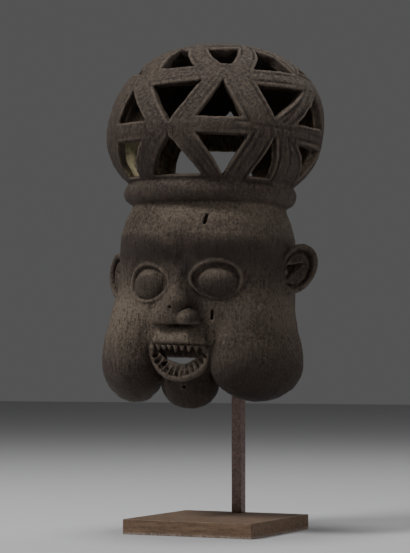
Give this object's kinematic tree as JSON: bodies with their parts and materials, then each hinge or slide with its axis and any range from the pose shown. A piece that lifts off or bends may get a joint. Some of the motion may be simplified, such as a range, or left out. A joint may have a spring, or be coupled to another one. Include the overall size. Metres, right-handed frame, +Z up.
{
  "type": "helmet mask",
  "caption": "Carved wooden helmet mask with swollen cheeks and a hollow openwork crown, held up by a square rod on a square base plate.",
  "frame": {"origin": "centre of the base plate's underside", "axes": "+Z up; -Y to the front edge of the base, where the mask's face looks; +X to the mask's left ear"},
  "size_m": [0.2953, 0.2878, 0.6308],
  "materials": {
    "dark_wood": "dark, worn and dusty carved surface",
    "rusted_iron": "dull, browned and pitted",
    "base_wood": "worn satin"
  },
  "bodies": {
    "root": {"mask": "dark_wood", "stand_rod": "rusted_iron", "stand_base": "base_wood"}
  },
  "joints": []
}
